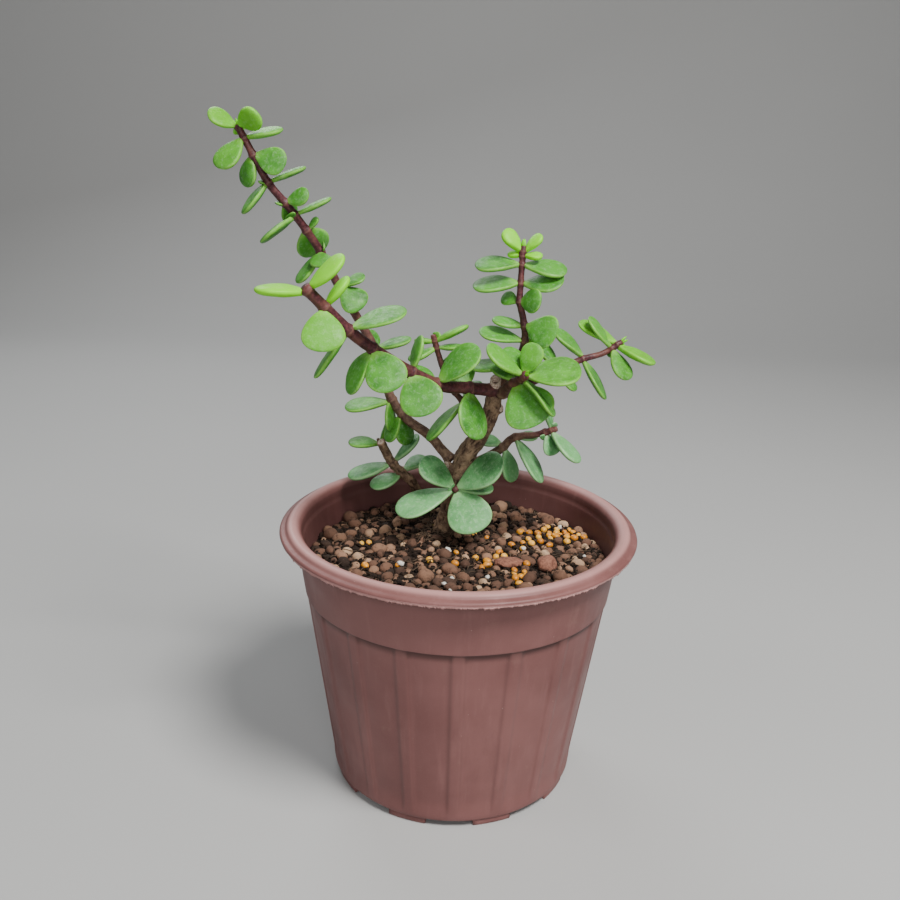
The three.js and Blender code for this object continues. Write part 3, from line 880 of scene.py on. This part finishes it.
# A stub is (stem, share of its length, heading, length, radius, hollow), heading in degrees round the stem.
STUBS = {
    "hollow_stub": ("trunk", 0.97, 88, 5.4, 1.9, True),
    "low_stub": ("trunk", 0.44, 150, 3.4, 1.7, False),
    "knob_stub": ("trunk", 0.86, 40, 2.4, 1.9, False),
    "sucker_cut": ("sucker", 0.995, 90, 2.2, 1.7, False),
}


def build_stubs():
    """Short remains of pruned branches: a corky sleeve with a pale cut face, or a hollow pipe."""
    for seed, (label, (stem, share, heading, length, radius, hollow)) in enumerate(STUBS.items()):
        centres, radii = STEMS[stem]
        path, sizes = smooth_path(centres, radii, 0.4 * MM)
        spot = int(share * (len(path) - 1))
        along = path[min(spot + 2, len(path) - 1)] - path[max(0, spot - 2)]
        along /= np.linalg.norm(along)
        right = np.array([1.0, 0.0, 0.0])
        turn = math.radians(heading)
        aim = right * math.cos(turn) + np.array([0, -0.35, 0.94]) * math.sin(turn)
        if stem == "sucker":
            aim = along
        aim = aim / np.linalg.norm(aim)
        start = path[spot]
        length = length * MM + (0 if stem == "sucker" else sizes[spot] * 0.8)
        radius = radius * MM
        rise = np.cross(aim, right)
        rise /= np.linalg.norm(rise)
        beside = np.cross(aim, rise)
        bore = 0.62 if hollow else 0.86
        outline = [(0.0, 1.05), (0.5, 1.0), (0.88, 1.04), (0.98, 1.0), (1.0, 0.92), (1.0, bore)]
        mouth = [(0.35, bore - 0.06), (0.3, 0.2)] if hollow else [(0.97, bore - 0.03), (0.96, 0.2)]
        sleeve = outline + mouth
        sides = 28
        verts = []
        for at, share_out in sleeve:
            for k in range(sides):
                a = k / sides * 2 * math.pi
                rough = 1 + 0.09 * noise.noise((math.cos(a) * 2, math.sin(a) * 2, at * 3 + seed * 5))
                slant = 0.12 * math.cos(a) * (at > 0.8)
                out = radius * share_out * rough
                outwards = rise * math.cos(a) + beside * math.sin(a)
                verts.append(start + aim * length * (at + slant) + outwards * out)
        verts += [start - aim * 0.2 * MM, start + aim * length * sleeve[-1][0]]
        parts = MeshParts()
        parts.add(np.array(verts), ring_faces(len(sleeve), sides), age=1.0, scar=0.35, groove=0.0)
        keep(parts.make(label, CUT_WOOD if hollow else STEM_BARK), slot="bark")
        if not hollow:
            face = MeshParts()
            flat = []
            for at, share_out in ((0.93, 0.4), (0.955, bore - 0.02), (0.99, bore - 0.02), (1.0, 0.5)):
                for k in range(sides):
                    a = k / sides * 2 * math.pi
                    slant = 0.12 * math.cos(a)
                    flat.append(start + aim * length * (at + slant)
                                + (rise * math.cos(a) + beside * math.sin(a)) * radius * share_out)
            flat += [start + aim * length * 0.93, start + aim * length * 1.0]
            face.add(np.array(flat), ring_faces(4, sides))
            keep(face.make(label + "_face", CUT_WOOD), slot="bark")


# ---- leaves ----
LEAF_RINGS = 22
LEAF_SIDES = 22
LEAF_THICKNESS = 2.7 * MM
# How yellow-green the leaves of a stem's end node are, and the second node's, as shares of a new leaf's.
TIP_YOUTH = {"left_limb": (1.0, 0.35), "rosette_twig": (0.25, 0.1), "long_shoot": (0.45, 0.25),
             "centre_shoot": (0.4, 0.25), "right_shoot": (0.45, 0.15), "mid_twig": (0.3, 0.1)}
NEW_LEAF = 11 * MM


def youth(leaf, length):
    """0 on a mature leaf, 1 on a lime-coloured new one."""
    number = int(leaf.node.rsplit("_", 1)[1])
    shares = TIP_YOUTH.get(leaf.stem, (0.0, 0.0))
    share = shares[number - 1] if number <= len(shares) else 0.0
    if number <= 2 and leaf.stem in ("rosette_twig", "left_limb", "centre_shoot") and length < NEW_LEAF:
        share = 0.9
    return share


def leaf_outline(s, wedge):
    """Half width, 1 at its widest: a tapering stalk end of the given power and a round tip."""
    peak = wedge / (wedge + 0.5)
    top = peak ** wedge * (1 - peak) ** 0.5
    return s ** wedge * (1 - s) ** 0.5 / top


def add_leaf(parts, leaf, rng):
    line = leaf.tip - leaf.base
    length = np.linalg.norm(line)
    young = youth(leaf, length)
    line = line / length
    normal = leaf.normal - line * (leaf.normal @ line)
    normal /= np.linalg.norm(normal)
    side = np.cross(line, normal)
    width = leaf.width * rng.uniform(0.99, 1.06)
    wedge = rng.uniform(0.62, 0.82) if leaf.node.startswith("leaves_left_limb") else rng.uniform(0.75, 1.0)
    thick = LEAF_THICKNESS * rng.uniform(0.88, 1.1) * (1 + 0.35 * young) * min(1.0, length / (11 * MM)) ** 0.6
    bow = rng.uniform(-0.01, 0.07) * length
    cup = rng.uniform(-0.02, 0.06) * width
    twist = rng.uniform(-0.16, 0.16)
    skew = rng.uniform(-0.05, 0.05) * width
    tone = rng.random()
    ruffle = rng.uniform(0, 20)
    steps = (1 - np.cos(np.linspace(0, math.pi, LEAF_RINGS + 2)[1:-1])) / 2
    verts = []
    alongs = []
    acrosses = []
    for s in steps:
        half = width / 2 * leaf_outline(s, wedge) + 0.62 * MM * (1 - s) ** 7
        fade = math.sqrt(max(0.0, 1 - s ** 7)) * (0.62 + 0.38 * min(1.0, s / 0.35))
        roll = twist * s
        for k in range(LEAF_SIDES):
            a = k / LEAF_SIDES * 2 * math.pi
            v = math.copysign(abs(math.cos(a)) ** 0.82, math.cos(a))
            h = math.copysign(abs(math.sin(a)) ** 0.85, math.sin(a))
            ripple = 1 + 0.018 * noise.noise((ruffle + 3 * s, 2.2 * v, 0.3))
            x = v * half * ripple + skew * math.sin(math.pi * s)
            z = h * thick / 2 * fade * (0.8 if h > 0 else 1.12)
            z += cup * (v * v) * math.sin(math.pi * min(1.0, s + 0.12)) + bow * 4 * s * (1 - s) * 0.25
            z += 0.05 * MM * noise.noise((ruffle + 9 * s, 5 * v, 1.7))
            x, z = x * math.cos(roll) - z * math.sin(roll), x * math.sin(roll) + z * math.cos(roll)
            verts.append(leaf.base + side * x + line * s * length + normal * z)
            alongs.append(s)
            acrosses.append(abs(v))
    verts += [leaf.base - line * 0.4 * MM, leaf.tip]
    alongs += [0, 1]
    acrosses += [0, 1]
    parts.add(np.array(verts), ring_faces(LEAF_RINGS, LEAF_SIDES),
              along=alongs, across=acrosses, tone=tone, age=young)


def build_leaves():
    rng = random.Random(5)
    old = ("front_spur", "sucker", "lower_right_branch")
    for node in LEAF_NODES:
        _, _, leaves = READ_LEAVES[node]
        parts = MeshParts()
        for leaf in leaves:
            add_leaf(parts, leaf, rng)
        grey = any(node.startswith("leaves_" + name) for name in old)
        piece = parts.make(node + "_blades", LEAF_GREY if grey else LEAF_GREEN)
        keep(piece, node, slot="old_leaf" if grey else "young_leaf")


# ---- soil ----
SOIL_LOW, SOIL_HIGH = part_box("soil")
SOIL_RADIUS = SOIL_HIGH.y
SOIL_TOP = SOIL_HIGH.z
TRUNK_FOOT = STEMS["trunk"][0][0]


def soil_height(x, y):
    """Top of the loose bed: a slight mound round the trunk, uneven lumps, lower at the wall."""
    away = math.hypot(x - TRUNK_FOOT[0], y - TRUNK_FOOT[1])
    mound = 0.9 * MM * math.exp(-(away / (14 * MM)) ** 2)
    lumps = 0.9 * MM * noise.noise((x * 70, y * 70, 0)) + 0.35 * MM * noise.noise((x * 320, y * 320, 3))
    edge = max(0.0, math.hypot(x, y) - (SOIL_RADIUS - 5 * MM)) / (5 * MM)
    return SOIL_TOP - 1.9 * MM + mound + lumps - 1.0 * MM * edge ** 2


def build_bed():
    """The dark humus: a closed body with a crumbly top."""
    rings = 72
    sides = 150
    verts = []
    for r in range(1, rings + 1):
        radius = SOIL_RADIUS * r / rings
        for k in range(sides):
            a = (k + 0.5 * (r % 2)) / sides * 2 * math.pi
            x, y = radius * math.cos(a), radius * math.sin(a)
            crumb = 0.3 * MM * noise.noise((x * 1400, y * 1400, 5))
            verts.append((x, y, soil_height(x, y) + crumb))
    for radius, z in ((SOIL_RADIUS - 1 * MM, 0.075), (FLOOR_RADIUS - 5 * MM, SOIL_LOW.z)):
        for k in range(sides):
            a = (k + 0.5 * (rings % 2)) / sides * 2 * math.pi
            verts.append((radius * math.cos(a), radius * math.sin(a), z))
    verts += [(0, 0, soil_height(0, 0)), (0, 0, SOIL_LOW.z)]
    parts = MeshParts()
    parts.add(np.array(verts), ring_faces(rings + 2, sides))
    return keep(parts.make("soil_bed", humus()), "soil", slot="soil_mix")


def ball(level):
    """Unit icosphere as arrays."""
    made = bmesh.new()
    bmesh.ops.create_icosphere(made, subdivisions=level, radius=1)
    verts = np.array([v.co for v in made.verts])
    faces = [tuple(v.index for v in f.verts) for f in made.faces]
    made.free()
    return verts, faces


BALLS = {level: ball(level) for level in (1, 2, 3)}


def add_pebble(parts, rng, place, size, level, lumpy, tone):
    """A rounded lump: an icosphere pushed about by noise, stretched and turned."""
    verts, faces = BALLS[level]
    seed = rng.uniform(0, 90)
    push = np.array([1 + lumpy * noise.noise(Vector(v) * 1.2 + Vector((seed, 0, 0)))
                     + 0.35 * lumpy * noise.noise(Vector(v) * 3.6 + Vector((0, seed, 0))) for v in verts])
    stretch = np.array([rng.uniform(0.82, 1.25), rng.uniform(0.8, 1.05), rng.uniform(0.7, 0.95)])
    spin = Matrix.Rotation(rng.uniform(0, 6.3), 3, "Z")
    turn = np.array(spin @ Matrix.Rotation(rng.uniform(-0.6, 0.6), 3, "X"))
    shaped = (verts * push[:, None] * stretch) @ turn.T * size / 2
    parts.add(shaped + np.array(place), faces, tone=tone)


def grain_share(x, y):
    """Share of the surface that granules cover: less round the trunk and in patches of bare humus."""
    away = math.hypot(x - TRUNK_FOOT[0], y - TRUNK_FOOT[1])
    if away < 6 * MM:
        return 0.0
    patch = 0.42 + 1.4 * noise.noise((x * 62 + 4, y * 62, 8)) + 0.9 * noise.noise((x * 170, y * 170, 2))
    front = 0.3 * (-y / SOIL_RADIUS)
    return float(np.clip(patch + front + 0.4 * (away / (30 * MM) - 0.7), 0.05, 1))


def random_spot(rng, margin):
    """A place on the soil, at least a margin from the wall."""
    radius = (SOIL_RADIUS - margin) * math.sqrt(rng.random())
    a = rng.uniform(0, 2 * math.pi)
    return radius * math.cos(a), radius * math.sin(a)


def scatter(rng, count, spacing, taken, margin):
    """Random places on the soil that keep their distance from each other and from the stems."""
    spots = []
    tries = 0
    while len(spots) < count and tries < count * 60:
        tries += 1
        x, y = random_spot(rng, margin)
        if rng.random() > grain_share(x, y):
            continue
        if all((x - u) ** 2 + (y - w) ** 2 > (0.5 * (spacing + s)) ** 2 for u, w, s in taken):
            spots.append((x, y))
            taken.append((x, y, spacing))
    return spots


# Fertilizer grains lie in clusters: centre, spread each way (mm) and count.
PRILL_CLUSTERS = [
    ((41, 19), (7, 5), 19), ((30, 13), (7, 6), 10), ((23, -18), (5, 9), 8),
    ((9, -13), (4, 4), 3), ((15, -5), (2, 4), 3), ((-34, 4), (3, 3), 2),
    ((-13, -9), (12, 8), 2), ((2, -2), (40, 36), 8),
]


def build_prills(rng, taken):
    parts = MeshParts()
    for (cx, cy), (wx, wy), count in PRILL_CLUSTERS:
        placed = 0
        tries = 0
        while placed < count and tries < 400:
            tries += 1
            x = (cx + rng.gauss(0, 0.5) * wx) * MM
            y = (cy + rng.gauss(0, 0.5) * wy) * MM
            size = rng.uniform(2.2, 3.1) * MM
            free = all((x - u) ** 2 + (y - w) ** 2 > (0.5 * (size + s)) ** 2 for u, w, s in taken)
            if not free or math.hypot(x, y) > SOIL_RADIUS - 3 * MM:
                continue
            add_pebble(parts, rng, (x, y, soil_height(x, y) + 0.35 * size), size, 3, 0.05, rng.random())
            taken.append((x, y, size))
            placed += 1
    keep(parts.make("fertilizer_grains", prill_coat()), slot="soil_mix")


def build_granules(rng, taken):
    sizes = (("clay_grains_large", 90, 4.8, 3), ("clay_grains_medium", 340, 3.5, 3),
             ("clay_grains_small", 620, 2.4, 2))
    grain = clay_grain()
    for name, count, size, level in sizes:
        parts = MeshParts()
        for x, y in scatter(rng, count, size * 0.92 * MM, taken, 0.5 * size * MM):
            actual = size * rng.uniform(0.82, 1.22) * MM
            lift = rng.uniform(-0.25, 0.34) * actual
            tone = min(1.0, max(0.0, rng.gauss(0.5, 0.25)))
            add_pebble(parts, rng, (x, y, soil_height(x, y) + lift), actual, level, 0.15, tone)
        keep(parts.make(name, grain), slot="soil_mix")


def build_crumbs(rng):
    """Dark humus crumbs between the granules, white perlite, and loose fibres."""
    crumbs = MeshParts()
    for _ in range(4200):
        x, y = random_spot(rng, 1 * MM)
        size = rng.uniform(0.6, 2.0) * MM
        lift = rng.uniform(0.1, 0.9) * MM
        add_pebble(crumbs, rng, (x, y, soil_height(x, y) + lift), size, 1, 0.8, 0.0)
    keep(crumbs.make("humus_crumbs", humus()), slot="soil_mix")
    white = MeshParts()
    for _ in range(16):
        x, y = random_spot(rng, 3 * MM)
        size = rng.uniform(1.2, 2.6) * MM
        add_pebble(white, rng, (x, y, soil_height(x, y) + 0.9 * MM + 0.3 * size), size, 2, 0.5, 1.0)
    keep(white.make("perlite_bits", perlite()), slot="soil_mix")
    threads = MeshParts()
    for index in range(330):
        x, y = random_spot(rng, 5 * MM)
        if index % 3 == 0:
            a = math.atan2(y, x)
            radius = rng.uniform(5, 13) * MM
            x, y = TRUNK_FOOT[0] + radius * math.cos(a), TRUNK_FOOT[1] + radius * math.sin(a)
        heading = rng.uniform(0, 6.3)
        bend = rng.uniform(-0.5, 0.5)
        points = []
        for _ in range(5):
            points.append((x, y, soil_height(x, y) + rng.uniform(1.0, 1.9) * MM))
            x += math.cos(heading) * 1.5 * MM
            y += math.sin(heading) * 1.5 * MM
            heading += bend
        if max(math.hypot(px, py) for px, py, _ in points) > SOIL_RADIUS - 2 * MM:
            continue
        add_tube(threads, points, rng.uniform(0.09, 0.2) * MM, 5)
    keep(threads.make("soil_fibres", fibre()), slot="soil_mix")


def add_tube(parts, points, radius, sides):
    path, _ = smooth_path(points, [radius] * len(points), 0.5 * MM)
    _, squares = frames_along(path)
    verts = []
    for i, centre in enumerate(path):
        size = radius * (0.4 + 0.6 * math.sin(math.pi * (i + 1) / (len(path) + 1)))
        across, beside = squares[i]
        for k in range(sides):
            a = k / sides * 2 * math.pi
            verts.append(centre + (across * math.cos(a) + beside * math.sin(a)) * size)
    verts += [path[0], path[-1]]
    parts.add(np.array(verts), ring_faces(len(path), sides), tone=0.5)


# The two reddish lumps of broken brick: places of the flat flake and of the rounder lump.
FLAKE_PLACE = (18.5 * MM, -9.5 * MM)
LUMP_PLACE = (32.2 * MM, -12.5 * MM)


def build_soil():
    rng = random.Random(23)
    build_bed()
    taken = [(*FLAKE_PLACE, 9 * MM), (*LUMP_PLACE, 7 * MM)]
    build_prills(rng, taken)
    build_granules(rng, taken)
    build_crumbs(rng)
    flake = MeshParts()
    verts, faces = BALLS[3]
    rough = np.array([1 + 0.3 * noise.noise(Vector(v) * 2.1) for v in verts])
    shaped = verts * rough[:, None] * np.array([5.0, 3.4, 1.7]) * MM
    flake.add(shaped + np.array([*FLAKE_PLACE, soil_height(*FLAKE_PLACE) + 1.6 * MM]), faces, tone=0.5)
    lump = (*LUMP_PLACE, soil_height(*LUMP_PLACE) + 2.2 * MM)
    add_pebble(flake, rng, lump, 7.2 * MM, 3, 0.35, 0.5)
    keep(flake.make("brick_flake", brick_flake()), slot="soil_mix")


def build_roots():
    roots = NODES["roots"]
    roots.material_slots[0].link = "OBJECT"
    roots.material_slots[0].material = root_wood()


# ---- stage ----
def build_stage():
    """A pale floor that curves up into a plain backdrop."""
    profile = [(-1.6, 0.0), (0.75, 0.0)]
    bends = np.linspace(0.15, math.pi / 2, 10)
    profile += [(0.75 + 0.45 * math.sin(a), 0.45 - 0.45 * math.cos(a)) for a in bends]
    profile += [(1.2, 2.6)]
    verts = [(x, y, z) for y, z in profile for x in (-2.4, 2.4)]
    faces = [(2 * i, 2 * i + 1, 2 * i + 3, 2 * i + 2) for i in range(len(profile) - 1)]
    parts = MeshParts()
    parts.add(np.array(verts), faces)
    parts.make("floor", stage_paint())


place_camera()
add_lights()
build_stage()
build_pot()
build_flash()
for stem_index, stem_name in enumerate(STEM_NODES):
    build_stem(stem_name, stem_index)
build_leaves()
build_buds()
build_stubs()
build_soil()
build_roots()
